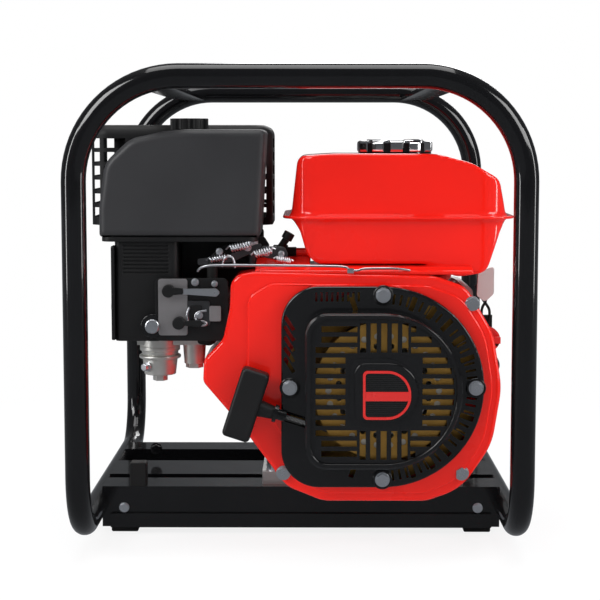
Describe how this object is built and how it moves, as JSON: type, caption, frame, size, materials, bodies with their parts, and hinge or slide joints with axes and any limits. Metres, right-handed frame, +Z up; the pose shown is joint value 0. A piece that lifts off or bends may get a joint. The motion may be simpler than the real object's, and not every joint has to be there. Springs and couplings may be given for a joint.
{
  "type": "portable fire pump",
  "caption": "Recoil-start petrol engine driving a centrifugal fire pump, carried in a bent-tube roll cage with crossmembers and rubber feet.",
  "frame": {"origin": "on the floor, under the middle of the roll cage", "axes": "+X to the right seen from the recoil starter, +Y from the starter towards the suction port, +Z up"},
  "size_m": [0.4, 0.469, 0.428],
  "materials": {
    "front_hoop": "gloss",
    "rear_hoop": "gloss",
    "top_straps": "gloss",
    "front_crossmember": "gloss",
    "rear_crossmembers": "gloss",
    "rubber_feet": "matt",
    "crankcase": "cast",
    "crankcase_cover": "cast",
    "engine_bolts": "zinc plated",
    "base_and_pump_bolts": "zinc plated",
    "crank_bearings": "ground",
    "crankshaft": "ground",
    "piston_and_pin": "machined",
    "cylinder_head": "cast",
    "rocker_cover": "satin",
    "spark_plug": "plated",
    "ignition_coil": "matt",
    "ignition_lead": "matt",
    "oil_dipstick": "matt",
    "flywheel": "cast",
    "cooling_fan": "matt",
    "starter_cup": "pressed",
    "fan_shroud": "gloss",
    "starter_housing": "gloss",
    "recoil_cover": "gloss",
    "recoil_reel": "matt",
    "recoil_spring": "strip",
    "pull_rope": "braided",
    "pull_grip": "matt",
    "fuel_tank": "gloss",
    "fuel_cap": "polished",
    "fuel_line": "matt",
    "fuel_strainer_cup": "cast",
    "carburettor": "cast",
    "float_bowl": "zinc plated",
    "intake_duct": "matt",
    "air_cleaner_base": "matt",
    "air_filter_element": "foam and paper",
    "air_cleaner_cover": "satin",
    "cover_knob": "matt",
    "control_bracket": "satin",
    "choke_lever": "zinc plated",
    "fuel_lever": "matt",
    "throttle_lever": "zinc plated",
    "governor_rod": "zinc plated",
    "muffler": "heat-proof",
    "muffler_guard": "satin",
    "stop_switch_body": "matt",
    "stop_switch_knob": "gloss",
    "pump_bracket": "cast",
    "mechanical_seal": "lapped",
    "impeller": "cast",
    "pump_casing": "cast",
    "check_valve_flap": "matt",
    "suction_flange": "cast",
    "discharge_head": "cast",
    "left_outlet_cap": "cast",
    "right_outlet_cap": "cast",
    "rear_outlet_cap": "cast",
    "prime_plug": "cast"
  },
  "bodies": {
    "chassis": {"front_hoop": "front_hoop", "rear_hoop": "rear_hoop", "top_straps": "top_straps", "front_crossmember": "front_crossmember", "rear_crossmembers": "rear_crossmembers", "rubber_feet": "rubber_feet", "crankcase": "crankcase", "crankcase_cover": "crankcase_cover", "engine_bolts": "engine_bolts", "base_and_pump_bolts": "base_and_pump_bolts", "crank_bearings": "crank_bearings", "cylinder_head": "cylinder_head", "rocker_cover": "rocker_cover", "spark_plug": "spark_plug", "ignition_coil": "ignition_coil", "ignition_lead": "ignition_lead", "fan_shroud": "fan_shroud", "starter_housing": "starter_housing", "recoil_cover": "recoil_cover", "recoil_spring": "recoil_spring", "pull_rope": "pull_rope", "fuel_tank": "fuel_tank", "fuel_line": "fuel_line", "fuel_strainer_cup": "fuel_strainer_cup", "carburettor": "carburettor", "float_bowl": "float_bowl", "intake_duct": "intake_duct", "air_cleaner_base": "air_cleaner_base", "air_filter_element": "air_filter_element", "control_bracket": "control_bracket", "governor_rod": "governor_rod", "muffler": "muffler", "muffler_guard": "muffler_guard", "stop_switch_body": "stop_switch_body", "pump_bracket": "pump_bracket", "pump_casing": "pump_casing", "suction_flange": "suction_flange", "discharge_head": "discharge_head"},
    "crank": {"crankshaft": "crankshaft", "flywheel": "flywheel", "cooling_fan": "cooling_fan", "starter_cup": "starter_cup", "mechanical_seal": "mechanical_seal", "impeller": "impeller"},
    "piston": {"piston_and_pin": "piston_and_pin"},
    "reel": {"recoil_reel": "recoil_reel"},
    "grip": {"pull_grip": "pull_grip"},
    "choke": {"choke_lever": "choke_lever"},
    "fuel_valve": {"fuel_lever": "fuel_lever"},
    "throttle": {"throttle_lever": "throttle_lever"},
    "switch_knob": {"stop_switch_knob": "stop_switch_knob"},
    "tank_cap": {"fuel_cap": "fuel_cap"},
    "cleaner_cover": {"air_cleaner_cover": "air_cleaner_cover"},
    "wing_knob": {"cover_knob": "cover_knob"},
    "valve_flap": {"check_valve_flap": "check_valve_flap"},
    "left_cap": {"left_outlet_cap": "left_outlet_cap"},
    "right_cap": {"right_outlet_cap": "right_outlet_cap"},
    "rear_cap": {"rear_outlet_cap": "rear_outlet_cap"},
    "priming_plug": {"prime_plug": "prime_plug"},
    "dipstick": {"oil_dipstick": "oil_dipstick"}
  },
  "joints": [
    {"name": "crank_spin", "type": "hinge", "parent": "chassis", "child": "crank", "pos_m": [0.072, 0, 0.15], "axis": [0, 1, 0], "continuous": true},
    {"name": "piston_slide", "type": "slide", "parent": "chassis", "child": "piston", "axis": [-0.9063, 0, 0.4226], "range_m": [-0.045, 0]},
    {"name": "grip_pull", "type": "slide", "parent": "chassis", "child": "grip", "axis": [-0.9511, 0, 0.309], "range_m": [0, 0.6], "stiffness_N_per_m": 12, "springref_m": -0.6, "deforming": ["pull_rope"]},
    {"name": "reel_turn", "type": "hinge", "parent": "chassis", "child": "reel", "pos_m": [0.072, -0.19, 0.15], "axis": [0, 1, 0], "range_deg": [0, 690]},
    {"name": "choke_turn", "type": "hinge", "parent": "chassis", "child": "choke", "pos_m": [-0.1165, -0.158, 0.232], "axis": [0, 1, 0], "range_deg": [-18, 18]},
    {"name": "fuel_valve_turn", "type": "hinge", "parent": "chassis", "child": "fuel_valve", "pos_m": [-0.108, -0.158, 0.204], "axis": [0, 1, 0], "range_deg": [0, 55]},
    {"name": "throttle_turn", "type": "hinge", "parent": "chassis", "child": "throttle", "pos_m": [-0.08, -0.152, 0.206], "axis": [0, 1, 0], "range_deg": [-20, 8]},
    {"name": "stop_switch_turn", "type": "hinge", "parent": "chassis", "child": "switch_knob", "pos_m": [0.176, -0.064, 0.178], "axis": [0, -1, 0], "range_deg": [0, 90]},
    {"name": "fuel_cap_lift", "type": "slide", "parent": "chassis", "child": "tank_cap", "axis": [0, 0, 1], "range_m": [0, 0.03]},
    {"name": "cleaner_cover_lift", "type": "slide", "parent": "chassis", "child": "cleaner_cover", "axis": [0, 0, 1], "range_m": [0, 0.02]},
    {"name": "cover_knob_turn", "type": "hinge", "parent": "cleaner_cover", "child": "wing_knob", "pos_m": [-0.102, -0.096, 0.375], "axis": [0, 0, 1], "range_deg": [0, 720]},
    {"name": "check_valve_swing", "type": "hinge", "parent": "chassis", "child": "valve_flap", "pos_m": [0.072, 0.126, 0.183], "axis": [-1, 0, 0], "range_deg": [0, 24]},
    {"name": "left_outlet_cap_pull", "type": "slide", "parent": "chassis", "child": "left_cap", "axis": [-1, 0, 0], "range_m": [0, 0.03]},
    {"name": "right_outlet_cap_pull", "type": "slide", "parent": "chassis", "child": "right_cap", "axis": [1, 0, 0], "range_m": [0, 0.03]},
    {"name": "rear_outlet_cap_pull", "type": "slide", "parent": "chassis", "child": "rear_cap", "axis": [0, 1, 0], "range_m": [0, 0.03]},
    {"name": "prime_plug_lift", "type": "slide", "parent": "chassis", "child": "priming_plug", "axis": [0, 0, 1], "range_m": [0, 0.03]},
    {"name": "dipstick_pull", "type": "slide", "parent": "chassis", "child": "dipstick", "axis": [0.7071, 0, 0.7071], "range_m": [0, 0.06]}
  ],
  "couplings": [
    {"joint": "reel_turn", "follows": "grip_pull", "rad_per_m": 20}
  ]
}
